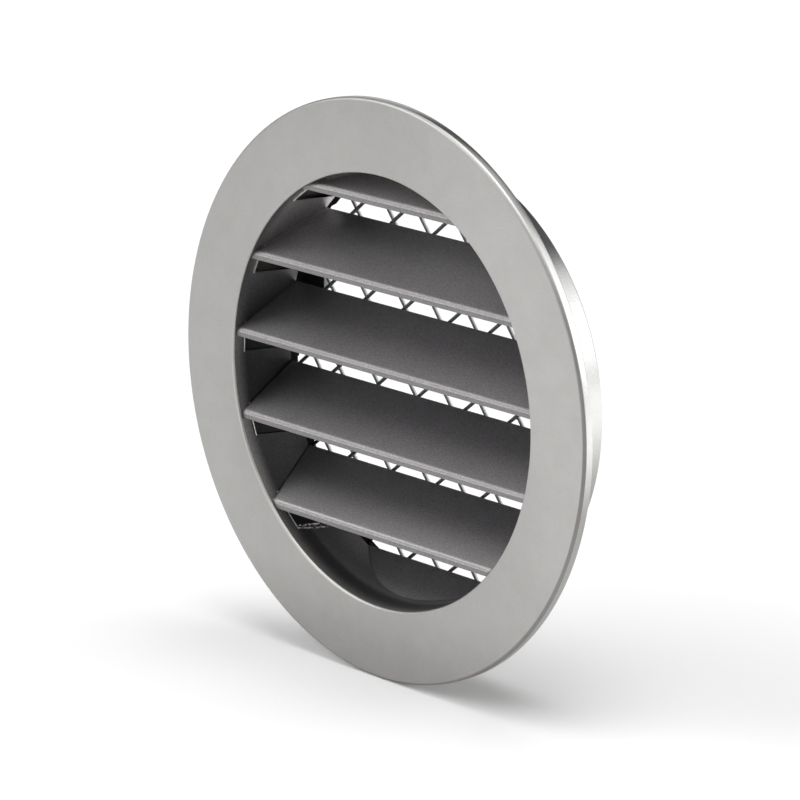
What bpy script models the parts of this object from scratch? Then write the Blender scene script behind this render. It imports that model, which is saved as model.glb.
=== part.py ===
"""Round louvred vent cover: a die-cast aluminium grille with a welded wire mesh behind its blades.

Frame: +X to the right seen from outside, +Y into the wall, +Z up. The origin is on the
spigot's axis, in the plane of the flange's back, which lies against the wall.
"""

import math

import bmesh
import bpy
from mathutils import Matrix

MM = 0.001

# Clearance between pieces that touch, and how far a cutting shape runs past what it cuts
seat_gap = 0.3 * MM
overrun = 1.0 * MM
weld_distance = 0.01 * MM

# Flange
flange_radius = 80.0 * MM
flange_thickness = 3.2 * MM
flange_edge_round = 1.0 * MM
flange_back_bevel = 0.4 * MM

# Opening and spigot
opening_radius = 59.7 * MM
opening_edge_round = 0.6 * MM
bore_draft = 0.4 * MM
spigot_wall = 1.9 * MM
spigot_draft = 0.4 * MM
spigot_root_round = 0.8 * MM
spigot_end_round = 0.6 * MM

# Blades: their lips stand one above the other, and the lowest blade shows only its rear part
blade_pitch = 23.15 * MM
top_lip_drop = 6.7 * MM
lip_setback = 1.0 * MM
blade_depth = 20.0 * MM
blade_rise = 10.8 * MM
blade_thickness = 1.95 * MM
blade_edge_round = 0.6 * MM
lowest_blade_drop = 0.6 * MM

# Relief in the wall under each blade, where the rear half of the mould was drawn out
relief_setback = 3.0 * MM
relief_height = 7.0 * MM
relief_fall = 2.2 * MM
relief_depth = 0.8 * MM

# Welded wire mesh, cut round: two layers of straight wires, sunk into each other where they cross
wire_diameter = 1.05 * MM
weld_sink = 0.25 * MM
mesh_pitch = 10.97 * MM
mesh_turn_deg = 38.8
front_wire_shift = -0.61 * MM
rear_wire_shift = -0.31 * MM
mesh_play = 0.5 * MM

# Lugs on the spigot's end, which the mesh lies against from inside; their outer ends lean inwards
lug_length = 10.8 * MM
lug_height = 8.6 * MM
lug_thickness = 2.35 * MM
lug_bite = 0.4 * MM
lug_heel = 2.0 * MM
lug_level = 20.1 * MM
lug_edge_round = 0.6 * MM

# Facets
turn_steps = 120
round_steps = 3
wire_bevel_steps = 2

# Depths that follow from the sizes above
face_y = -flange_thickness
lip_y = face_y + lip_setback
blade_rear_y = lip_y + blade_depth
layer_step = wire_diameter - weld_sink
mesh_thickness = wire_diameter + layer_step
mesh_y = blade_rear_y + seat_gap + mesh_play + mesh_thickness / 2
lug_y = mesh_y + mesh_thickness / 2 + seat_gap
lug_rear_y = lug_y + lug_thickness
spigot_end_y = lug_y + lug_bite

# Radii and heights that follow from the sizes above
bore_radius = opening_radius + bore_draft
spigot_radius = bore_radius + spigot_wall
relief_radius = bore_radius + relief_depth
blade_reach = (relief_radius + spigot_radius) / 2
lug_reach = (bore_radius + spigot_radius) / 2
lug_heel_slope = lug_heel / lug_thickness
mesh_radius = bore_radius - seat_gap
top_lip_height = opening_radius - top_lip_drop
blade_slope = blade_rise / blade_depth
lip_height = blade_thickness * math.hypot(blade_depth, blade_rise) / blade_depth
blade_count = 1 + math.floor((top_lip_height + bore_radius + blade_rise - lip_height) / blade_pitch)


def clear_scene():
    for old in list(bpy.data.objects):
        bpy.data.objects.remove(old, do_unlink=True)


def new_collection(name):
    collection = bpy.data.collections.new(name)
    bpy.context.scene.collection.children.link(collection)
    return collection


def add_part(name, mesh):
    part = bpy.data.objects.new(name, mesh)
    vent.objects.link(part)
    return part


def add_helper(name, mesh):
    """A shape that cuts a part or is joined to it."""
    helper = bpy.data.objects.new(name, mesh)
    cutters.objects.link(helper)
    helper.hide_render = True
    helper.display_type = "WIRE"
    return helper


def boolean(part, helper, operation):
    modifier = part.modifiers.new(helper.name, "BOOLEAN")
    modifier.operation = operation
    modifier.solver = "EXACT"
    modifier.object = helper


def bevel(part, width):
    modifier = part.modifiers.new("Edges", "BEVEL")
    modifier.width = width
    modifier.segments = round_steps
    modifier.limit_method = "ANGLE"


def evaluated_mesh(source):
    bpy.context.view_layer.update()
    return bpy.data.meshes.new_from_object(source.evaluated_get(bpy.context.evaluated_depsgraph_get()))


def finish(part, material):
    """Keeps the shape that the modifiers make, shades its rounds smooth and gives it its material."""
    mesh = evaluated_mesh(part)
    mesh.shade_smooth()
    mesh.set_sharp_from_angle(angle=math.radians(25))
    part.modifiers.clear()
    part.data = mesh
    mesh.materials.clear()
    mesh.materials.append(material)


def metal(name, colour, roughness):
    material = bpy.data.materials.new(name)
    material.use_nodes = True
    shader = material.node_tree.nodes["Principled BSDF"]
    shader.inputs["Base Color"].default_value = (*colour, 1.0)
    shader.inputs["Metallic"].default_value = 1.0
    shader.inputs["Roughness"].default_value = roughness
    return material


def mesh_from(name, shape):
    bmesh.ops.recalc_face_normals(shape, faces=shape.faces)
    mesh = bpy.data.meshes.new(name)
    shape.to_mesh(mesh)
    shape.free()
    return mesh


def disc(name, radius, start_y, end_y, end_radius):
    """A round bar or cone about the Y axis, its corners midway between those of the turned wall."""
    shape = bmesh.new()
    length = end_y - start_y
    ends = {"radius1": end_radius, "radius2": radius}
    bmesh.ops.create_cone(shape, cap_ends=True, segments=turn_steps, depth=length, **ends)
    half_step = Matrix.Rotation(math.pi / turn_steps, 4, "Z")
    lay_down = Matrix.Rotation(math.radians(90), 4, "X")
    into_place = Matrix.Translation((0, start_y + length / 2, 0))
    bmesh.ops.transform(shape, matrix=into_place @ lay_down @ half_step, verts=shape.verts)
    return add_helper(name, mesh_from(name, shape))


def bars(name, outlines):
    """Closed outlines of (depth, height) points, extruded from one side of the flange to the other."""
    shape = bmesh.new()
    for outline in outlines:
        corners = [shape.verts.new((-flange_radius, depth, height)) for depth, height in outline]
        section = bmesh.ops.contextual_create(shape, geom=corners)["faces"]
        grown = bmesh.ops.extrude_face_region(shape, geom=section)["geom"]
        far_end = [item for item in grown if isinstance(item, bmesh.types.BMVert)]
        bmesh.ops.translate(shape, vec=(2 * flange_radius, 0, 0), verts=far_end)
        bmesh.ops.contextual_create(shape, geom=corners)
    return add_helper(name, mesh_from(name, shape))


def arc(centre, radius, start_deg, end_deg):
    """Points on a round in (radius, depth); angle 0 points outwards and 90 to the rear."""
    points = []
    for step in range(round_steps + 1):
        angle = math.radians(start_deg + (end_deg - start_deg) * step / round_steps)
        points.append((centre[0] + radius * math.cos(angle), centre[1] + radius * math.sin(angle)))
    return points


# Flange and spigot, one turned wall
def wall_outline():
    """The closed section: mouth, bore, spigot's end and root, flange's back and edge, then the face."""
    root_radius = spigot_radius + spigot_draft
    mouth = (opening_radius + opening_edge_round, face_y + opening_edge_round)
    end = (spigot_radius - spigot_end_round, spigot_end_y - spigot_end_round)
    root = (root_radius + spigot_root_round, spigot_root_round)
    edge = (flange_radius - flange_edge_round, face_y + flange_edge_round)
    outline = arc(mouth, opening_edge_round, 270, 180)
    outline += [(bore_radius, spigot_end_y)]
    outline += arc(end, spigot_end_round, 90, 0)
    outline += arc(root, spigot_root_round, -180, -90)
    outline += [(flange_radius - flange_back_bevel, 0), (flange_radius, -flange_back_bevel)]
    outline += arc(edge, flange_edge_round, 0, -90)
    return outline


def make_wall():
    mesh = bpy.data.meshes.new("louvre_casting")
    points = [(radius, depth, 0) for radius, depth in wall_outline()]
    edges = [(index, (index + 1) % len(points)) for index in range(len(points))]
    mesh.from_pydata(points, edges, [])
    wall = add_part("louvre_casting", mesh)
    turn = wall.modifiers.new("Turn", "SCREW")
    turn.axis = "Y"
    turn.steps = turn_steps
    turn.render_steps = turn_steps
    turn.use_merge_vertices = True
    turn.merge_threshold = weld_distance
    return wall


def lip_top(index):
    """Height of a blade's lip. The lowest blade hangs a little below its place in the row."""
    drop = lowest_blade_drop if index == blade_count - 1 else 0
    return top_lip_height - index * blade_pitch - drop


def blade_outline(index):
    """A plate that rises to the rear, with an upright lip and an upright rear edge."""
    top = lip_top(index)
    return [
        (lip_y, top),
        (blade_rear_y, top + blade_rise),
        (blade_rear_y, top + blade_rise - lip_height),
        (lip_y, top - lip_height),
    ]


def relief_outline(index):
    """The space under one blade, from behind its lip past the spigot's end, and up into the blade."""
    front = lip_y + relief_setback
    rear = spigot_end_y + overrun
    middle = lip_top(index) - lip_height / 2
    floor = lip_top(index) - relief_height
    return [
        (front, floor),
        (front, middle + blade_slope * (front - lip_y)),
        (rear, middle + blade_slope * (rear - lip_y)),
        (rear, floor - relief_fall),
    ]


def make_reliefs():
    reliefs = bars("reliefs", [relief_outline(index) for index in range(blade_count - 1)])
    limit = disc("relief_limit", relief_radius, face_y, spigot_end_y + 2 * overrun, relief_radius)
    boolean(reliefs, limit, "INTERSECT")
    return reliefs


def make_blades():
    blades = bars("blades", [blade_outline(index) for index in range(blade_count)])
    bevel(blades, blade_edge_round)
    limit = disc("blade_limit", blade_reach, face_y, spigot_end_y, blade_reach)
    boolean(blades, limit, "INTERSECT")
    return blades


def make_lugs():
    """Blocks that reach in from the spigot's end, two on each side, rooted in its wall."""
    shape = bmesh.new()
    length = flange_radius - bore_radius + lug_length
    for side in (-1, 1):
        for level in (-1, 1):
            corners = bmesh.ops.create_cube(shape, size=1)["verts"]
            bmesh.ops.scale(shape, vec=(length, lug_thickness, lug_height), verts=corners)
            middle = (side * (flange_radius - length / 2), lug_y + lug_thickness / 2, level * lug_level)
            bmesh.ops.translate(shape, vec=middle, verts=corners)
    lugs = add_helper("lugs", mesh_from("lugs", shape))
    bevel(lugs, lug_edge_round)
    front_reach = lug_reach + lug_heel_slope * overrun
    rear_reach = lug_reach - lug_heel - lug_heel_slope * overrun
    limit = disc("lug_limit", front_reach, lug_y - overrun, lug_rear_y + overrun, rear_reach)
    boolean(lugs, limit, "INTERSECT")
    return lugs


def make_casting():
    casting = make_wall()
    boolean(casting, make_reliefs(), "DIFFERENCE")
    boolean(casting, make_blades(), "UNION")
    boolean(casting, make_lugs(), "UNION")
    finish(casting, metal("cast_aluminium", (0.50, 0.50, 0.49), 0.45))


# Wire mesh
def wire_layer(name, shift, layer_y, turn_deg):
    """Parallel wires, laid flat along X, turned in their plane and stood upright."""
    curve = bpy.data.curves.new(name, "CURVE")
    curve.dimensions = "3D"
    curve.twist_mode = "Z_UP"
    curve.bevel_depth = wire_diameter / 2
    curve.bevel_resolution = wire_bevel_steps
    curve.use_fill_caps = True
    most = math.floor((mesh_radius - abs(shift)) / mesh_pitch)
    for count in range(-most, most + 1):
        offset = shift + count * mesh_pitch
        half = math.sqrt(mesh_radius**2 - (abs(offset) + wire_diameter / 2) ** 2)
        wire = curve.splines.new("POLY")
        wire.points.add(1)
        wire.points[0].co = (-half, offset, 0, 1)
        wire.points[1].co = (half, offset, 0, 1)
    line = bpy.data.objects.new(name, curve)
    cutters.objects.link(line)
    mesh = evaluated_mesh(line)
    bpy.data.objects.remove(line)
    shape = bmesh.new()
    shape.from_mesh(mesh)
    bmesh.ops.remove_doubles(shape, verts=shape.verts, dist=weld_distance)
    stand_up = Matrix.Translation((0, layer_y, 0)) @ Matrix.Rotation(math.radians(90), 4, "X")
    turn = Matrix.Rotation(math.radians(turn_deg), 4, "Z")
    bmesh.ops.transform(shape, matrix=stand_up @ turn, verts=shape.verts)
    return mesh_from(name, shape)


def make_wire_mesh():
    front = wire_layer("wire_mesh", front_wire_shift, mesh_y - layer_step / 2, mesh_turn_deg)
    rear = wire_layer("rear_wires", rear_wire_shift, mesh_y + layer_step / 2, mesh_turn_deg - 90)
    wires = add_part("wire_mesh", front)
    boolean(wires, add_helper("rear_wires", rear), "UNION")
    finish(wires, metal("galvanised_wire", (0.42, 0.43, 0.44), 0.4))


clear_scene()
vent = new_collection("round_louvred_vent")
cutters = new_collection("vent_cutters")
make_casting()
make_wire_mesh()
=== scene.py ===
# %% [markdown]
# A round vent cover for the outside of a wall. It is one die-cast aluminium grille, with slanted
# blades that keep rain out, and a welded wire mesh behind them that keeps insects out. The packed
# model gives every size and place, so it is loaded first, and its box is kept for the camera's aim
# and the floor's height.

# %% Load the frame
import math

import bmesh
import bpy
from mathutils import Matrix, Vector


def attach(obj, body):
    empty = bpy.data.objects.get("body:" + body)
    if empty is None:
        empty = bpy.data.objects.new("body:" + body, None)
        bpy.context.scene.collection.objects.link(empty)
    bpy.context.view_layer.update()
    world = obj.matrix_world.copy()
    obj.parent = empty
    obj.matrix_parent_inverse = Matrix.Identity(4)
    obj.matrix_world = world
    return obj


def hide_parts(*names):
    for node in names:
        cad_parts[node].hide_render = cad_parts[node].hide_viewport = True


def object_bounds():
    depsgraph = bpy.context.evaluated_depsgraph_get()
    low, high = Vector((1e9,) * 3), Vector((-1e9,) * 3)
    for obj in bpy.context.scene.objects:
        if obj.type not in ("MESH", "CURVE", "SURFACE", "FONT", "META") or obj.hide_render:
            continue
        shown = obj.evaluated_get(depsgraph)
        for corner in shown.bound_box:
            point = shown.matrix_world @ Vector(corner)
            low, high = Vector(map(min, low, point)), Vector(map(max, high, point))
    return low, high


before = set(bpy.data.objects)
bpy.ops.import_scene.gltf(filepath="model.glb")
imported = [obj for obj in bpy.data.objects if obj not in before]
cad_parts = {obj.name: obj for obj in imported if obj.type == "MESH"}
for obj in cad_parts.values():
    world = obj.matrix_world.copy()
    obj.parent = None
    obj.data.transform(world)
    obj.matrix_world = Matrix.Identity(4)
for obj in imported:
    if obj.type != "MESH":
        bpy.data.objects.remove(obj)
cad_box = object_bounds()
bpy.ops.object.select_all(action="DESELECT")

MM = 0.001
print("nodes:", sorted(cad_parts))
print("box in mm:", [[round(x / MM, 2) for x in corner] for corner in cad_box])

# %% [markdown]
# The camera comes before the pieces, because the likeness is judged through it. A long lens from
# the right and a little above flattens the ring into a clean ellipse. The camera looks along one
# direction and is then moved a little to the right and down, so the ring sits off centre in the frame.

# %% Camera
AZIMUTH = math.radians(48.13)
ELEVATION = math.radians(15.11)
DISTANCE = 1204.7 * MM
LENS_MM = 202.46
SHIFT_RIGHT, SHIFT_DOWN = 6.4, 1.675

forward = Vector((
    -math.sin(AZIMUTH) * math.cos(ELEVATION),
    math.cos(AZIMUTH) * math.cos(ELEVATION),
    -math.sin(ELEVATION),
))
right = Vector((math.cos(AZIMUTH), math.sin(AZIMUTH), 0))
up = right.cross(forward)
target = Vector((0, cad_box[0].y, 0)) + right * SHIFT_RIGHT * MM - up * SHIFT_DOWN * MM

camera = bpy.data.objects.new("camera", bpy.data.cameras.new("camera"))
bpy.context.scene.collection.objects.link(camera)
camera.data.sensor_width = 36
camera.data.lens = LENS_MM
camera.data.clip_end = 20
axes = Matrix((right, up, -forward)).transposed().to_4x4()
camera.matrix_world = Matrix.Translation(target - forward * DISTANCE) @ axes
bpy.context.scene.camera = camera
print("camera at", [round(x, 3) for x in camera.location])

# %% [markdown]
# The sizes of the real parts in millimetres. They repeat the values that the solids were made
# from, so each new piece lands where the hidden solid is. Depth runs along Y: the flange's back is
# at 0, its face at -3.2, and the spigot goes back into the wall from there.

# %% Sizes
FLANGE_RADIUS, FACE_Y = 79.995, -3.2
MOUTH_RADIUS, BORE_RADIUS = 59.7, 60.1
SPIGOT_RADIUS, SPIGOT_DRAFT, SPIGOT_END = 62.0, 0.4, 21.15
LIP_Y, BLADE_REAR_Y, BLADE_RISE, LIP_HEIGHT = -2.2, 17.8, 10.8, 2.216
TOP_LIP, BLADE_PITCH, BLADE_COUNT, LOWEST_DROP = 53.0, 23.15, 6, 0.6
LUG_FRONT, LUG_REAR, LUG_LEVEL, LUG_HEIGHT, LUG_END = 20.75, 23.1, 20.1, 8.6, 49.3
WIRE_DIAMETER, WIRE_PITCH, WIRE_TURN = 1.05, 10.97, 38.8
FRONT_WIRES_Y, REAR_WIRES_Y, MESH_RADIUS = 19.125, 19.925, 59.75
lip_tops = [TOP_LIP - index * BLADE_PITCH for index in range(BLADE_COUNT)]
lip_tops[-1] -= LOWEST_DROP
print("lips at heights", [round(z, 2) for z in lip_tops])

# %% [markdown]
# Every new piece starts as a primitive, such as a plane or a block, and is shaped in edit mode, as
# by hand. An operator acts on all that is selected, so these helpers deselect everything first and
# then select by place.

# %% Modelling helpers


def activate(piece):
    """Makes one object the only selected one, and the one that operators act on."""
    bpy.ops.object.select_all(action="DESELECT")
    piece.select_set(True)
    bpy.context.view_layer.objects.active = piece


def edit(piece, mode="VERT"):
    """Opens a piece in edit mode, selecting by vertex, edge or face."""
    activate(piece)
    bpy.ops.object.mode_set(mode="EDIT")
    bpy.ops.mesh.select_mode(type=mode)


def leave_edit():
    bpy.ops.object.mode_set(mode="OBJECT")


def select_by(piece, kind, test):
    """Selects the verts, edges or faces whose middle, in mm, passes the test."""
    bpy.ops.mesh.select_all(action="DESELECT")
    mesh = bmesh.from_edit_mesh(piece.data)
    for item in getattr(mesh, kind):
        corners = [item.co] if kind == "verts" else [vert.co for vert in item.verts]
        middle = sum(corners, Vector()) / len(corners) / MM
        if test(middle):
            item.select_set(True)
    bmesh.update_edit_mesh(piece.data)


def sized(piece, name, size):
    """Names a primitive of unit size, gives it its size in mm and fixes that in its mesh."""
    piece.name = name
    piece.scale = [length * MM for length in size]
    activate(piece)
    bpy.ops.object.transform_apply(location=True, rotation=True, scale=True)
    return piece


def add_block(name, middle, size):
    bpy.ops.mesh.primitive_cube_add(size=1, location=[x * MM for x in middle])
    return sized(bpy.context.object, name, size)


def add_rod(name, radius, start_y, end_y, sides):
    """A round bar about the Y axis. Bars that meet have different numbers of sides."""
    middle = (0, (start_y + end_y) / 2 * MM, 0)
    bpy.ops.mesh.primitive_cylinder_add(
        vertices=sides, radius=1, depth=1, location=middle, rotation=(math.radians(90), 0, 0)
    )
    return sized(bpy.context.object, name, (radius, radius, end_y - start_y))


def clean_up(piece):
    """Welds doubles and points all faces outwards."""
    edit(piece)
    bpy.ops.mesh.select_all(action="SELECT")
    bpy.ops.mesh.remove_doubles(threshold=0.004 * MM)
    bpy.ops.mesh.normals_make_consistent(inside=False)
    leave_edit()


def combine(piece, other, operation):
    """Cuts, joins or intersects a piece with another, which is then removed.

    Both are made of triangles first, because those cut cleanest.
    """
    for shape in (piece, other):
        edit(shape, "FACE")
        bpy.ops.mesh.select_all(action="SELECT")
        bpy.ops.mesh.quads_convert_to_tris(quad_method="BEAUTY", ngon_method="BEAUTY")
        leave_edit()
    cut = piece.modifiers.new("combine", "BOOLEAN")
    cut.operation = operation
    cut.solver = "EXACT"
    cut.object = other
    activate(piece)
    bpy.ops.object.modifier_apply(modifier=cut.name)
    bpy.data.objects.remove(other)


def copy_of(piece, name, shift):
    """A copy with its own mesh, moved by a shift in mm."""
    twin = piece.copy()
    twin.data = piece.data.copy()
    twin.name = name
    bpy.context.scene.collection.objects.link(twin)
    twin.data.transform(Matrix.Translation(Vector(shift) * MM))
    return twin


def join(pieces):
    """Makes one object of several. They keep their shapes."""
    activate(pieces[0])
    for piece in pieces[1:]:
        piece.select_set(True)
    bpy.ops.object.join()
    return pieces[0]


def measure(piece):
    """Prints a piece's triangles, its open edges, which should be none, and its volume."""
    mesh = bmesh.new()
    mesh.from_mesh(piece.data)
    open_edges = sum(1 for edge in mesh.edges if len(edge.link_faces) != 2)
    faces = sum(len(face.verts) - 2 for face in mesh.faces)
    volume = round(mesh.calc_volume() / MM**3)
    print(piece.name, faces, "triangles,", open_edges, "open edges,", volume, "mm3")
    mesh.free()


# %% [markdown]
# The flange and the spigot are one turned wall: in the mould both are round about one axis. So the
# wall's section is drawn flat, as a plane on one side of the axis, and spun once round it. A plane
# gives the flange's section. Its back edge is split at the spigot's outside, and the inner part is
# extruded to the rear. The corners are rounded before the turn, because each rounding then costs
# one vertex bevel instead of a long edge bevel.

# %% The wall's section
ring_middle = ((FLANGE_RADIUS + BORE_RADIUS) / 2 * MM, FACE_Y / 2 * MM, 0)
bpy.ops.mesh.primitive_plane_add(size=1, location=ring_middle)
casting = sized(bpy.context.object, "grille_casting", (FLANGE_RADIUS - BORE_RADIUS, -FACE_Y, 1))
root_radius = SPIGOT_RADIUS + SPIGOT_DRAFT

edit(casting, "EDGE")
bpy.ops.mesh.select_all(action="SELECT")
bpy.ops.mesh.bisect(plane_co=(root_radius * MM, 0, 0), plane_no=(1, 0, 0))
select_by(casting, "edges", lambda p: abs(p.y) < 0.01 and p.x < root_radius)
bpy.ops.mesh.extrude_region_move(TRANSFORM_OT_translate={"value": (0, SPIGOT_END * MM, 0)})
section = bmesh.from_edit_mesh(casting.data)
bpy.ops.mesh.select_all(action="DESELECT")
for line in section.edges:
    line.select_set(len(line.link_faces) == 2)
bpy.ops.mesh.dissolve_edges(use_verts=False)
bpy.ops.mesh.select_mode(type="VERT")
select_by(casting, "verts", lambda p: p.x < BORE_RADIUS + 0.01 and abs(p.y) < 0.01)
bpy.ops.mesh.dissolve_verts()
select_by(casting, "verts", lambda p: abs(p.x - root_radius) < 0.01 and p.y < FACE_Y + 0.01)
bpy.ops.mesh.dissolve_verts()
print("section corners:", len(bmesh.from_edit_mesh(casting.data).verts))

# %% Draft and rounded corners
select_by(casting, "verts", lambda p: p.x < BORE_RADIUS + 0.01 and p.y < FACE_Y + 0.01)
bpy.ops.transform.translate(value=((MOUTH_RADIUS - BORE_RADIUS) * MM, 0, 0))
select_by(casting, "verts", lambda p: p.x > BORE_RADIUS + 0.5 and p.y > SPIGOT_END - 0.01)
bpy.ops.transform.translate(value=(-SPIGOT_DRAFT * MM, 0, 0))

ROUNDINGS = [
    ("mouth", MOUTH_RADIUS, FACE_Y, 0.6),
    ("flange edge", FLANGE_RADIUS, FACE_Y, 1.0),
    ("flange back", FLANGE_RADIUS, 0, 0.4),
    ("spigot root", root_radius, 0, 0.8),
    ("spigot end", SPIGOT_RADIUS, SPIGOT_END, 0.6),
    ("spigot end inside", BORE_RADIUS, SPIGOT_END, 0.15),
]
for corner, radius, corner_y, width in ROUNDINGS:
    select_by(casting, "verts", lambda p: abs(p.x - radius) < 0.05 and abs(p.y - corner_y) < 0.05)
    bpy.ops.mesh.bevel(offset=width * MM, segments=5, affect="VERTICES")
    print(corner, "rounded by", width, "mm")
print("rounded section:", len(bmesh.from_edit_mesh(casting.data).verts), "corners")

# %% Spin the section
bpy.ops.mesh.select_all(action="SELECT")
bpy.ops.mesh.delete(type="ONLY_FACE")
bpy.ops.mesh.select_all(action="SELECT")
bpy.ops.mesh.spin(steps=240, angle=2 * math.pi, center=(0, 0, 0), axis=(0, 1, 0))
leave_edit()
clean_up(casting)
measure(casting)

# %% [markdown]
# On the real casting the bottom of the bore isn't quite round: behind the face the metal is about
# a millimetre thicker there, because that side of the mould was drawn out to the front. So a
# crescent is laid on the bottom of the bore: a ring whose hole is lifted a little from its mouth
# inwards. Only its lower part is kept, where the lifted hole lies above the turned wall.

# %% Thick bottom of the bore
LIFT, LIFT_FULL_Y, CORE_CLEARANCE = 1.2, 4.8, 0.25
CRESCENT_OUTSIDE, CRESCENT_FRONT, CRESCENT_REAR, CRESCENT_TOP = 61.25, -2.6, BLADE_REAR_Y - 0.3, -5
crescent = add_rod("crescent", CRESCENT_OUTSIDE, CRESCENT_FRONT, CRESCENT_REAR, 130)
core = add_rod("core", BORE_RADIUS + CORE_CLEARANCE, -3.0, BLADE_REAR_Y + 1, 236)
edit(core)
bpy.ops.mesh.select_all(action="SELECT")
bpy.ops.mesh.bisect(plane_co=(0, LIFT_FULL_Y * MM, 0), plane_no=(0, 1, 0))
select_by(core, "verts", lambda p: p.y > LIFT_FULL_Y - 0.01)
bpy.ops.transform.translate(value=(0, 0, LIFT * MM))
inwards = 1 - CORE_CLEARANCE / BORE_RADIUS
bpy.ops.transform.resize(value=(inwards, 1, inwards), center_override=(0, 0, LIFT * MM))
leave_edit()
combine(crescent, core, "DIFFERENCE")
combine(crescent, add_block("upper_part", (0, 10, CRESCENT_TOP + 50), (140, 40, 100)), "DIFFERENCE")
combine(casting, crescent, "UNION")
measure(casting)

# %% [markdown]
# Six blades stand one above the other. On the real grille they are cast with the ring, all with
# one section: a plate that rises to the rear, with an upright lip whose top is well rounded. One
# block is sheared by moving its rear face up, its long edges are rounded, and five copies are moved
# down by the pitch. The lowest one sits a little lower still, and its lip lies inside the wall, so
# only its rear part shows. The ends are cut by one round bar inside the wall's thickness, so each
# blade runs into the wall.

# %% One blade
depth = BLADE_REAR_Y - LIP_Y
blade_middle = (0, LIP_Y + depth / 2, TOP_LIP - LIP_HEIGHT / 2)
blade = add_block("blade", blade_middle, (2 * FLANGE_RADIUS, depth, LIP_HEIGHT))
edit(blade, "FACE")
select_by(blade, "faces", lambda p: p.y > BLADE_REAR_Y - 0.01)
bpy.ops.transform.translate(value=(0, 0, BLADE_RISE * MM))
bpy.ops.mesh.select_mode(type="EDGE")


def along_the_front(point, level):
    """Whether an edge runs across the blade's front at this height."""
    return abs(point.x) < 0.01 and point.y < LIP_Y + 0.01 and abs(point.z - level) < 0.1


for level, width, steps in [(TOP_LIP, 1.0, 6), (TOP_LIP - LIP_HEIGHT, 0.45, 5)]:
    select_by(blade, "edges", lambda p: along_the_front(p, level))
    bpy.ops.mesh.bevel(offset=width * MM, segments=steps, affect="EDGES")
select_by(blade, "edges", lambda p: abs(p.x) < 0.01 and p.y > BLADE_REAR_Y - 0.01)
bpy.ops.mesh.bevel(offset=0.2 * MM, segments=3, affect="EDGES")
leave_edit()
measure(blade)

# %% The row of blades
TRIM_RADIUS = 61.45
drops = [TOP_LIP - lip_top for lip_top in lip_tops]
row = [blade] + [copy_of(blade, "blade_%d" % i, (0, 0, -drops[i])) for i in range(1, BLADE_COUNT)]
blades = join(row)
combine(blades, add_rod("trim", TRIM_RADIUS, -10, 30, 202), "INTERSECT")
measure(blades)

# %% [markdown]
# Under each of the five full blades the wall has a shallow pocket, where the rear half of the mould
# was drawn out. Each pocket is a block that starts behind the lip. Its floor falls a little to the
# rear, and its top lies inside the blade, so the blade closes it.

# %% Pockets
POCKET_FRONT, POCKET_REAR = 0.8, SPIGOT_END + 3
POCKET_HEIGHT, POCKET_FALL, POCKET_DEPTH = 7.0, 2.2, 0.8
slope = BLADE_RISE / depth


def under_blades(name, front, rear, fall):
    """Blocks under the five full blades, with their tops inside the blades."""
    middle_y, middle_z = (front + rear) / 2, TOP_LIP - POCKET_HEIGHT / 2
    block = add_block(name, (0, middle_y, middle_z), (2 * FLANGE_RADIUS, rear - front, POCKET_HEIGHT))
    edit(block, "EDGE")
    for at_front, at_top, rise in [
        (True, True, slope * (front - LIP_Y) - LIP_HEIGHT / 2),
        (False, True, slope * (rear - LIP_Y) - LIP_HEIGHT / 2),
        (False, False, -fall),
    ]:
        edge_z = TOP_LIP if at_top else TOP_LIP - POCKET_HEIGHT
        edge = Vector((0, front if at_front else rear, edge_z))
        select_by(block, "edges", lambda p: (p - edge).length < 0.01)
        bpy.ops.transform.translate(value=(0, 0, rise * MM))
    leave_edit()
    copies = [copy_of(block, "%s_%d" % (name, i), (0, 0, -drops[i])) for i in range(1, 5)]
    return join([block] + copies)


pockets = under_blades("pocket", POCKET_FRONT, POCKET_REAR, POCKET_FALL)
combine(pockets, add_rod("pocket_limit", BORE_RADIUS + POCKET_DEPTH, -10, 40, 228), "INTERSECT")
measure(pockets)

# %% [markdown]
# Where the two halves of a mould meet, a little metal creeps into the joint and sets as a thin
# fin, called flash. Here it stands along the front edge of each pocket and catches the light as a
# bright hair line. It is a thin ring that stands proud of the bore, kept only under the blades.

# %% Flash on the pockets' front edges
FLASH_FRONT, FLASH_REAR, FLASH_RADIUS = 0.6, 0.87, 59.5
flash = add_rod("flash", BORE_RADIUS + 0.3, FLASH_FRONT, FLASH_REAR, 190)
hole = add_rod("flash_hole", FLASH_RADIUS, FLASH_FRONT - 1, FLASH_REAR + 1, 174)
combine(flash, hole, "DIFFERENCE")
combine(flash, under_blades("flash_limit", FLASH_FRONT - 0.5, FLASH_REAR + 0.5, 0.3), "INTERSECT")
measure(flash)

# %% [markdown]
# Four lugs reach in at the spigot's end, just behind the mesh, and keep it from falling out. Each is
# a block with rounded edges. A cone cuts all four to length, so their outer ends lean inwards and
# nothing stands out past the spigot.

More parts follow.
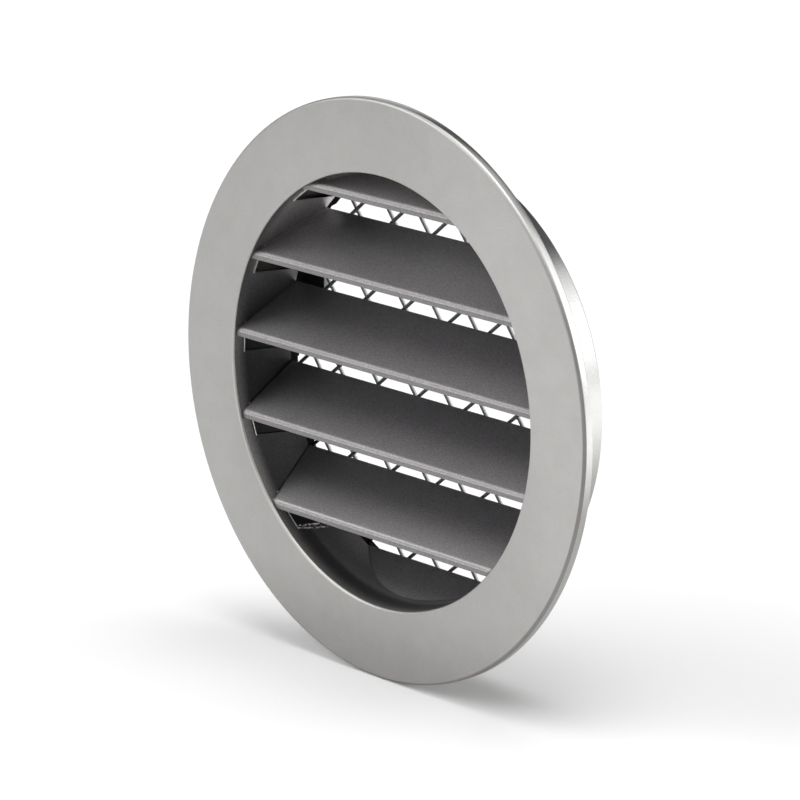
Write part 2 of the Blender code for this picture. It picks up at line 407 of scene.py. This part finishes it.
# %% Lugs
LUG_OUTSIDE, HEEL_FRONT_RADIUS, HEEL_REAR_RADIUS = 70, 61.05, 59.05
lug_depth = LUG_REAR - LUG_FRONT
lug_middle_y = (LUG_FRONT + LUG_REAR) / 2
lug = add_block(
    "lug", ((LUG_END + LUG_OUTSIDE) / 2, lug_middle_y, LUG_LEVEL),
    (LUG_OUTSIDE - LUG_END, lug_depth, LUG_HEIGHT),
)
edit(lug, "EDGE")
bpy.ops.mesh.select_all(action="SELECT")
bpy.ops.mesh.bevel(offset=0.6 * MM, segments=4, affect="EDGES")
leave_edit()
to_the_left, down = -LUG_OUTSIDE - LUG_END, -2 * LUG_LEVEL
shifts = [(0, 0, down), (to_the_left, 0, 0), (to_the_left, 0, down)]
lugs = join([lug] + [copy_of(lug, "lug_%d" % i, shift) for i, shift in enumerate(shifts, 1)])
lean = (HEEL_FRONT_RADIUS - HEEL_REAR_RADIUS) / lug_depth
bpy.ops.mesh.primitive_cone_add(
    vertices=240, radius1=(HEEL_FRONT_RADIUS + lean) * MM, radius2=(HEEL_REAR_RADIUS - lean) * MM,
    depth=(lug_depth + 2) * MM, location=(0, lug_middle_y * MM, 0),
    rotation=(math.radians(-90), 0, 0),
)
heel = bpy.context.object
activate(heel)
bpy.ops.object.transform_apply(location=True, rotation=True, scale=True)
combine(lugs, heel, "INTERSECT")
measure(lugs)

# %% [markdown]
# The ring, pockets, flash, blades and lugs were cast as one piece of metal, so they are cut and
# joined into one closed mesh. The pockets are cut before the blades are added, because each pocket's
# top reaches into its blade. Edges that bend by under 28 degrees are shaded smooth, and the sharper
# ones stay sharp.

# %% Put the casting together
combine(casting, pockets, "DIFFERENCE")
combine(casting, flash, "UNION")
combine(casting, blades, "UNION")
combine(casting, lugs, "UNION")
measure(casting)
clean_up(casting)
activate(casting)
bpy.ops.object.shade_smooth_by_angle(angle=math.radians(28))
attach(casting, "root")
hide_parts("louvre_casting")
measure(casting)

# %% [markdown]
# The mesh is welded from two layers of straight steel wires: those that rise to the right in front,
# and the falling ones behind them. No two real wires lie quite at the same spacing, and some are a
# little bent, so each one has its own small shifts sideways, read off the photograph at the gaps
# where it shows. One wire is a curve with a round section, laid flat and made into a mesh, then
# turned and stood up into its layer.

# %% Where the wires wander
# For each wire, counted from the middle one: its shift in mm at each gap, counted from the top
TURN = math.radians(WIRE_TURN)
TOP_GAP_LEVEL = 41.2
GAP_LEVELS = [TOP_GAP_LEVEL - gap * BLADE_PITCH for gap in range(BLADE_COUNT - 1)]
RISING_SHIFTS = {
    5: {1: -1.0}, 4: {1: -0.12, 2: -1.2}, 3: {1: -0.04, 2: -0.51, 3: -1.4}, 2: {2: 0.62, 3: 0.8},
    1: {2: -0.16, 3: 0.08, 4: -0.6}, 0: {2: 0.92, 3: 0.55, 4: 0.45}, -1: {3: -0.22, 4: -0.03},
    -2: {3: -0.1, 4: -0.36}, -3: {4: -0.68, 5: -0.75}, -4: {5: -0.2},
}
FALLING_SHIFTS = {
    -5: {4: 1.09}, -4: {3: 1.5, 4: -1.5, 5: -1.2}, -3: {3: -2.0, 4: -1.45, 5: -0.97},
    -2: {3: -1.3, 4: -0.19, 5: 0.41}, -1: {2: -0.95, 3: -0.5, 4: 0.14},
    0: {1: -0.07, 2: 0.28, 3: -0.43, 4: 0.62}, 1: {1: 0.41, 2: -0.3, 3: -0.4},
    2: {1: -0.37, 2: -0.02, 3: -0.33}, 3: {1: 0.51, 2: 0.75},
}


def gap_place(offset, turn, gap):
    """How far along a wire it passes the level of a gap."""
    return (GAP_LEVELS[gap - 1] - math.cos(turn) * offset) / math.sin(turn)


def wander(along, offset, turn, shifts):
    """A wire's sideways shift at one place along it, blended between the gaps it was read at."""
    places = sorted((gap_place(offset, turn, gap), shift) for gap, shift in shifts.items())
    if not places:
        return 0.0
    if along <= places[0][0]:
        return places[0][1]
    for (start, first), (end, second) in zip(places, places[1:]):
        if along <= end:
            part = (along - start) / (end - start)
            return first + (second - first) * (3 - 2 * part) * part**2
    return places[-1][1]


# %% Lay the two layers of wires
CURVE_POINTS = 25


def lay_wires(prefix, first_offset, layer_y, turn, wanders):
    """Lays one layer of parallel wires, as many as fit in the round mesh."""
    most = math.floor((MESH_RADIUS - abs(first_offset)) / WIRE_PITCH)
    wires = []
    for count in range(-most, most + 1):
        offset = first_offset + count * WIRE_PITCH
        shifts = wanders.get(count, {})
        reach = max([abs(offset + shift) for shift in shifts.values()] + [abs(offset)])
        half = math.sqrt(MESH_RADIUS**2 - (reach + WIRE_DIAMETER / 2) ** 2)
        bpy.ops.curve.primitive_nurbs_path_add(location=(0, 0, 0))
        wire = bpy.context.object
        wire.name = "%s_%d" % (prefix, count + most)
        spline = wire.data.splines[0]
        spline.points.add(CURVE_POINTS - len(spline.points))
        for number, point in enumerate(spline.points):
            along = half * (2 * number / (CURVE_POINTS - 1) - 1)
            point.co = (along * MM, (offset + wander(along, offset, turn, shifts)) * MM, 0, 1)
        spline.order_u = 3
        spline.use_endpoint_u = True
        wire.data.twist_mode = "Z_UP"
        wire.data.resolution_u = 2
        wire.data.bevel_depth = WIRE_DIAMETER / 2 * MM
        wire.data.bevel_resolution = 4
        wire.data.use_fill_caps = True
        activate(wire)
        bpy.ops.object.convert(target="MESH")
        stand_up = Matrix.Translation((0, layer_y * MM, 0)) @ Matrix.Rotation(math.radians(90), 4, "X")
        wire.data.transform(stand_up @ Matrix.Rotation(turn, 4, "Z"))
        clean_up(wire)
        bpy.ops.object.shade_smooth_by_angle(angle=math.radians(50))
        wires.append(wire)
    return wires


RISING_START, FALLING_START = -0.61, -0.31
rising = lay_wires("rising_wire", RISING_START, FRONT_WIRES_Y, TURN, RISING_SHIFTS)
falling = lay_wires("falling_wire", FALLING_START, REAR_WIRES_Y, TURN - math.pi / 2, FALLING_SHIFTS)
print(len(rising), "rising and", len(falling), "falling wires")

# %% [markdown]
# At every crossing the wires are fused by a spot weld, a small flat nugget that fills the corner
# between them. It starts as a ball, is squeezed flat and drawn out a little crosswise, and is copied
# to each crossing. Both wires wander there, and each one's shift depends on how far along it the
# other one passes, so the crossing is found by working out the two shifts in turn, three times over.

# %% Spot welds
NUGGET_RADIUS, NUGGET_HALF, WELD_MARGIN, MOST_WIRES = 0.72, 0.3, 2, 5
bpy.ops.mesh.primitive_uv_sphere_add(segments=16, ring_count=8, radius=1, location=(0, 0, 0))
nugget = sized(bpy.context.object, "spot_weld", (NUGGET_RADIUS, NUGGET_HALF, NUGGET_RADIUS))
edit(nugget)
select_by(nugget, "verts", lambda p: abs(p.x) < NUGGET_HALF or abs(p.z) < NUGGET_HALF)
bpy.ops.transform.resize(value=(1.06, 1, 1.06), center_override=(0, 0, 0))
leave_edit()
weld_y = (FRONT_WIRES_Y + REAR_WIRES_Y) / 2
welds = []
for count in range(-MOST_WIRES, MOST_WIRES + 1):
    for other in range(-MOST_WIRES, MOST_WIRES + 1):
        across, along = RISING_START + count * WIRE_PITCH, FALLING_START + other * WIRE_PITCH
        if math.hypot(across, along) > MESH_RADIUS - WELD_MARGIN:
            continue
        shifted_along, shifted_across = along, across
        for repeat in range(3):
            shift = wander(-shifted_across, along, TURN - math.pi / 2, FALLING_SHIFTS.get(other, {}))
            shifted_along = along + shift
            shift = wander(shifted_along, across, TURN, RISING_SHIFTS.get(count, {}))
            shifted_across = across + shift
        x = math.cos(TURN) * shifted_along - math.sin(TURN) * shifted_across
        z = math.sin(TURN) * shifted_along + math.cos(TURN) * shifted_across
        name = "weld_%d_%d" % (count + MOST_WIRES, other + MOST_WIRES)
        welds.append(copy_of(nugget, name, (x, weld_y, z)))
bpy.data.objects.remove(nugget)
welds = join(welds)
welds.name = "spot_welds"
clean_up(welds)
bpy.ops.object.shade_smooth()
for wire in rising + falling + [welds]:
    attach(wire, "root")
    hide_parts("wire_mesh")
measure(welds)

# %% [markdown]
# The two materials come next. Colours are picked as sRGB hex values, as in a paint program, and one
# function turns them to the linear values that the shader wants. Another one adds a node with its
# settings and its links. The colours are then laid over one another like coats of paint, each coat
# with the soft steps in depth, height or radius that say where it shows.

# %% Material helpers
SOFT = {"interpolation_type": "SMOOTHSTEP"}


def linear(hex_colour):
    """An sRGB hex colour as linear red, green, blue and an alpha of one."""
    channels = [int(hex_colour[i:i + 2], 16) / 255 for i in (0, 2, 4)]
    return [c / 12.92 if c <= 0.04045 else ((c + 0.055) / 1.055) ** 2.4 for c in channels] + [1]


def put(tree, kind, settings, inputs):
    """Adds a node. An input is either a value or another node's output to link from."""
    node = tree.nodes.new("ShaderNode" + kind)
    for name, value in settings.items():
        setattr(node, name, value)
    for name, value in inputs.items():
        if isinstance(value, bpy.types.NodeSocket):
            tree.links.new(value, node.inputs[name])
        else:
            node.inputs[name].default_value = value
    return node.outputs


def new_material(name):
    """A new material, with its node tree and its one shader."""
    material = bpy.data.materials.new(name)
    material.use_nodes = True
    return material, material.node_tree, material.node_tree.nodes["Principled BSDF"]


def where(*steps):
    """A mask that is full where all its steps are. A step is (value, start, full) or a mask."""
    cover = 1.0
    for step in steps:
        if isinstance(step, tuple):
            value, start, full = step
            ends = {"Value": value, "From Min": start, "From Max": full}
            step = put(tree, "MapRange", SOFT, ends)[0]
        cover = put(tree, "Math", {"operation": "MULTIPLY"}, {0: step, 1: cover})[0]
    return cover


def paint(under, *coats):
    """Lays coats of colour over one another. Each is a hex or a node's output, with its steps."""
    for colour, *steps in coats:
        below, above = (linear(c) if isinstance(c, str) else c for c in (under, colour))
        inputs = {0: where(*steps), 6: below, 7: above}
        under = put(tree, "Mix", {"data_type": "RGBA"}, inputs)[2]
    return under


print("mid grey in linear values:", [round(c, 3) for c in linear("808080")])

# %% [markdown]
# The grille is die-cast aluminium, shot-blasted all over: tiny steel balls knock off the burrs and
# leave a dull, even, fine-grained grey. The face is the palest. Inside the bore the colour is painted
# darker, darkest at the rear: painted shade, where the blades and the wall keep the light out. The
# rim and the outside of the spigot were turned on a lathe and are smoother, and their colour carries a
# painted reflection. The places are worked out in millimetres of Object coordinates: to the side, in
# depth, in height and from the axis.

# %% Shot-blasted cast aluminium: where on the grille
cast, tree, shader = new_material("shot_blasted_cast_aluminium")
object_place = put(tree, "TexCoord", {}, {})["Object"]
in_mm = put(tree, "VectorMath", {"operation": "SCALE"}, {0: object_place, "Scale": 1 / MM})[0]
place_mm = put(tree, "SeparateXYZ", {}, {0: in_mm})
side_mm, depth_mm, height_mm = place_mm["X"], place_mm["Y"], place_mm["Z"]
flat = put(tree, "VectorMath", {"operation": "MULTIPLY"}, {0: in_mm, 1: (1, 0, 1)})[0]
radius_mm = put(tree, "VectorMath", {"operation": "LENGTH"}, {0: flat})["Value"]

bore = where((radius_mm, 61.4, 61.2), (depth_mm, -2.9, -2.5))
near_wall = where((radius_mm, 58.6, 59.3))
behind_blades = where((depth_mm, 17.85, 18.0), (depth_mm, 21.4, 21.2))
turned_spigot = where((radius_mm, 61.5, 61.6), (depth_mm, 0.3, 0.8))
turned_rim = where((radius_mm, 79.7, 79.85), (depth_mm, -2.5, -2.1))
turned = put(tree, "Math", {"operation": "MAXIMUM"}, {0: turned_spigot, 1: turned_rim})[0]
print("masks for the bore, the wall, the rear and the turned outside")

# %% [markdown]
# The face is painted lighter towards the upper right, a painted light from the studio's right, and
# darker at its foot, a painted shade. A blade is painted duller on top and darker at its rear, a
# painted shade, and the top edge of its lip gets a paler painted highlight. The wall of the bore is
# painted darker inwards and towards the bottom, a painted shade. The lips are all found at once,
# because the height above the nearest lip repeats with the blades' pitch.

# %% Shot-blasted cast aluminium: face, blades and wall
RIGHT_PER_HEIGHT, HIGHLIGHT_BELOW_TOP = 0.4, 0.75
to_upper_right = {0: height_mm, 1: RIGHT_PER_HEIGHT, 2: side_mm}
upper_right = put(tree, "Math", {"operation": "MULTIPLY_ADD"}, to_upper_right)[0]
# Painted light towards the upper right of the face, and painted shade at its foot.
face = paint("B5B4B2", ("C0BFBD", (upper_right, 28, 76)), ("A3A19F", (height_mm, -50, -80)))

# The paler band at the top of each lip is a painted highlight.
from_highlight_line = {0: height_mm, 1: TOP_LIP - HIGHLIGHT_BELOW_TOP}
above_highlight_line = put(tree, "Math", {"operation": "SUBTRACT"}, from_highlight_line)[0]
in_one_pitch = {0: above_highlight_line, 1: BLADE_PITCH}
lip_place = put(tree, "Math", {"operation": "FLOORED_MODULO"}, in_one_pitch)[0]
lip = paint("8E8C8C", ("B4B2B1", (lip_place, 0.55, 0.1)))
# Painted shade: blade tops darker to the rear, with lighter fronts on the lower blades and lighter
# rears on the upper ones.
blade_front = paint("9C9A9B", ("AEACAC", (height_mm, -10, -40)))
blade_rear = paint("8A888A", ("ACAAAB", (height_mm, 18, 38)))
blade_metal = paint(blade_front, (blade_rear, (depth_mm, -1.4, 11)), (lip, (depth_mm, -1.75, -2.0)))

# Painted shade on the bore's wall: darker inwards from the mouth and towards the bottom, lighter near
# the top.
deep_wall = paint("424243", ("CCCACA", (height_mm, -2, 50)), ("484849", (height_mm, -38, -46)))
wall = paint("868483", (deep_wall, (depth_mm, -2.8, 2.0)))
# Painted shade in the pockets: near black, lighter in the upper pockets near their front.
pocket = paint("2A2A2A", ("807D7B", (height_mm, 5, 42)), ("303030", (depth_mm, 5, 16)))
pocket_steps = (radius_mm, BORE_RADIUS + 0.05, BORE_RADIUS + 0.2), (depth_mm, 0.7, 0.9)
print("face, blades, wall and pockets painted")

# %% [markdown]
# The thin flash at the front of the pockets, and a row of specks along the burr on the lowest
# pocket's lower edge, are painted near white: painted highlights where these small edges catch the
# light. That edge falls to the rear, so its line is found by height plus a share of the depth. The
# mouth's lower left edge gets a painted highlight, and the rim's corner a darker line of painted
# reflection between the face and its side, darker towards the bottom.

# %% Shot-blasted cast aluminium: flash, burr, edges and turned metal
# Near white, for the painted highlights on the flash and along the burr.
HIGHLIGHT_HEX, SPECK_MM = "F4F2EE", 0.9
flash_fin = where(
    (depth_mm, 0.5, 0.55), (depth_mm, 0.95, 0.9), (height_mm, -47.5, -47),
    (radius_mm, 59.3, 59.4), (radius_mm, 59.7, 59.64),
)
along_pocket = {0: depth_mm, 1: POCKET_FALL / (POCKET_REAR - POCKET_FRONT), 2: height_mm}
burr_level = put(tree, "Math", {"operation": "MULTIPLY_ADD"}, along_pocket)[0]
specks = put(tree, "TexNoise", {}, {"Vector": in_mm, "Scale": 1 / SPECK_MM, "Detail": 2})["Fac"]
burr = where(
    near_wall, (burr_level, -46.85, -46.7), (burr_level, -46.2, -46.35), (side_mm, 0, -1),
    (depth_mm, 0.8, 1), (depth_mm, 12, 8), (specks, 0.47, 0.53),
)
inside = paint(
    # Behind the blades, on the lugs' fronts, a near-black painted shade.
    blade_metal, (wall, near_wall), (pocket, *pocket_steps), ("2E2E2E", behind_blades),
    (HIGHLIGHT_HEX, burr), (HIGHLIGHT_HEX, flash_fin),
)
# Painted reflection on the rim's rounded corner: a darker line, darker towards the bottom.
rim_corner = paint("C2C0BE", ("8C8A88", (height_mm, 40, -10)))
# The turned metal is smoother, and carries a painted reflection: bright above, darker towards the
# bottom, and a painted dark reflection on the spigot's top.
turned_metal_and_reflection = paint(
    "A9A8A6", ("F0F0EE", (height_mm, -20, 5)), ("BCBCBC", turned_spigot, (height_mm, 38, 46))
)
# A painted highlight along the mouth's lower left edge.
mouth_highlight_place = (height_mm, 20, -20), (side_mm, 10, -15)
shade = paint(
    face, (inside, bore),
    ("D2D0CC", (radius_mm, 60.5, 60.3), *mouth_highlight_place, (depth_mm, -2.55, -2.7)),
    (rim_corner, (radius_mm, 79.1, 79.5), (depth_mm, -2.0, -2.4)),
    (turned_metal_and_reflection, turned),
)
print("specks of", SPECK_MM, "mm along the burr")

# %% [markdown]
# The blasted skin has a fine grain, drawn a little coarser than real so that it shows, and soft
# blotches where the metal set at different speeds. The grain is strongest inside the bore. Blasted
# metal is rough and gives wide soft shines, and the turned metal has tighter ones. The rear of the
# bore is the roughest, and its shine's edge tint is set to black, a painted shade that keeps it dark
# even where it is seen at a low angle.

# %% Shot-blasted cast aluminium: grain and polish
GRAIN_MM, BLOTCH_MM = 0.45, 6.0
fine = {"Vector": in_mm, "Scale": 1 / GRAIN_MM, "Detail": 3, "Roughness": 0.6}
broad = {"Vector": in_mm, "Scale": 1 / BLOTCH_MM, "Detail": 4, "Roughness": 0.62}
grain = put(tree, "TexNoise", {}, fine)["Fac"]
blotch = put(tree, "TexNoise", {}, broad)["Fac"]
usual = {"From Min": 0.3, "From Max": 0.7}
centred_grain = put(tree, "MapRange", {}, {"Value": grain, **usual, "To Min": -1})[0]
blotch_tone = put(tree, "MapRange", {}, {"Value": blotch, **usual, "To Min": 0.965, "To Max": 1.035})[0]
grain_depth = put(tree, "MapRange", SOFT, {"Value": bore, "To Min": 0.05, "To Max": 0.24})[0]
deepened = {0: centred_grain, 1: grain_depth, 2: 1}
grain_tone = put(tree, "Math", {"operation": "MULTIPLY_ADD"}, deepened)[0]
tone = put(tree, "Math", {"operation": "MULTIPLY"}, {0: grain_tone, 1: blotch_tone})[0]
shade = put(tree, "VectorMath", {"operation": "SCALE"}, {0: shade, "Scale": tone})[0]
tree.links.new(shade, shader.inputs["Base Color"])
shader.inputs["Metallic"].default_value = 1

BLASTED_ROUGHNESS, TURNED_ROUGHNESS, REAR_ADDS = 0.5, 0.24, 0.4
shaded_rear = where(bore, behind_blades)
turned_or_not = {"Value": turned, "To Min": BLASTED_ROUGHNESS, "To Max": TURNED_ROUGHNESS}
polish = put(tree, "MapRange", SOFT, turned_or_not)[0]
rougher = {0: shaded_rear, 1: REAR_ADDS, 2: polish}
rough = put(tree, "Math", {"operation": "MULTIPLY_ADD"}, rougher)[0]
tree.links.new(rough, shader.inputs["Roughness"])
# Black edge tint on the rear of the bore: painted shade, so it stays dark at low angles.
tree.links.new(paint("FFFFFF", ("000000", shaded_rear)), shader.inputs["Specular Tint"])
bump = put(tree, "Bump", {}, {"Height": grain, "Strength": 0.35, "Distance": 0.05 * MM})["Normal"]
tree.links.new(bump, shader.inputs["Normal"])
casting.data.materials.clear()
casting.data.materials.append(cast)
print("grain of", GRAIN_MM, "mm and blotches of", BLOTCH_MM, "mm")

# %% [markdown]
# The mesh is drawn steel wire, galvanised: pulled through a die, which leaves it smooth and round,
# then dipped in zinc, which gives a blue-grey skin with faint clouds. The front layer of wires is
# painted dark, a painted shade, and the rear layer is painted bright, a painted highlight.

# %% Galvanised wire
CLOUD_MM = 2.5
zinc, tree, shader = new_material("galvanised_steel_wire")
object_place = put(tree, "TexCoord", {}, {})["Object"]
clouds = {"Vector": object_place, "Scale": 1 / (CLOUD_MM * MM), "Detail": 3}
cloud = put(tree, "TexNoise", {}, clouds)["Fac"]
wire_depth = put(tree, "SeparateXYZ", {}, {0: object_place})["Y"]
# Painted shade on the front layer and a painted highlight on the rear layer, both over the zinc's
# clouds.
front_layer_shade = paint("56585C", ("6C6E72", cloud))
rear_layer_highlight = paint("D4D6D8", ("ECEEEF", cloud))
between_layers = (FRONT_WIRES_Y + REAR_WIRES_Y) / 2 * MM
rear_layer = (wire_depth, between_layers - 0.125 * MM, between_layers + 0.075 * MM)
shade = paint(front_layer_shade, (rear_layer_highlight, rear_layer))
tree.links.new(shade, shader.inputs["Base Color"])
shader.inputs["Metallic"].default_value = 1
shader.inputs["Roughness"].default_value = 0.3
for piece in rising + falling + [welds]:
    piece.data.materials.clear()
    piece.data.materials.append(zinc)
print("zinc on", len(rising + falling), "wires, with clouds of", CLOUD_MM, "mm")

# %% [markdown]
# The ring stands on a plain white floor in a white studio. The light is soft: broad bright patches
# of the studio's walls and ceiling, brightest overhead and at the left front, with dark between
# them, because dark parts of the room are what give bare metal its contrast. The floor glows a
# little, as a white floor does that is lit from all round.

# %% Floor
bpy.ops.mesh.primitive_plane_add(size=8, location=(0, 0, cad_box[0].z))
floor = bpy.context.object
floor.name = "floor"
white, tree, shader = new_material("white_floor")
shader.inputs["Base Color"].default_value = linear("F4F4F4")
shader.inputs["Emission Color"].default_value = linear("FFFFFF")
shader.inputs["Emission Strength"].default_value = 0.07
shader.inputs["Roughness"].default_value = 0.8
floor.data.materials.append(white)
print("floor at", round(cad_box[0].z / MM, 1), "mm")

# %% Studio light
# Each patch: its direction round from +X and its height, both in degrees, its spread and strength
STUDIO = [
    (0, 88, 26, 5.0), (0, 62, 30, 1.0), (90, 62, 26, 0.45), (45, 28, 32, 1.15), (225, 36, 28, 2.9),
    (270, 36, 28, 0.6), (300, 50, 24, 0.7), (45, 10, 26, 0.65), (90, 10, 26, 0.3),
    (135, 10, 26, 0.5), (225, 10, 26, 0.6),
]
world = bpy.data.worlds.new("studio")
world.use_nodes = True
tree = world.node_tree
sight = put(tree, "TexCoord", {}, {})["Generated"]
light = 0.0
for azimuth, height, spread, strength in STUDIO:
    turn, tilt = math.radians(azimuth), math.radians(height)
    towards = (math.cos(turn) * math.cos(tilt), math.sin(turn) * math.cos(tilt), math.sin(tilt))
    nearness = put(tree, "VectorMath", {"operation": "DOT_PRODUCT"}, {0: sight, 1: towards})["Value"]
    soft_edge = {
        "From Min": math.cos(math.radians(spread)), "From Max": math.cos(math.radians(0.3 * spread)),
        "To Max": strength, "Value": nearness,
    }
    patch = put(tree, "MapRange", SOFT, soft_edge)[0]
    light = put(tree, "Math", {"operation": "ADD"}, {0: patch, 1: light})[0]
tree.nodes["Background"].inputs["Color"].default_value = (1, 1, 1, 1)
tree.links.new(light, tree.nodes["Background"].inputs["Strength"])
bpy.context.scene.world = world
bpy.context.scene.view_settings.view_transform = "Standard"
print(len(STUDIO), "bright patches in the studio")
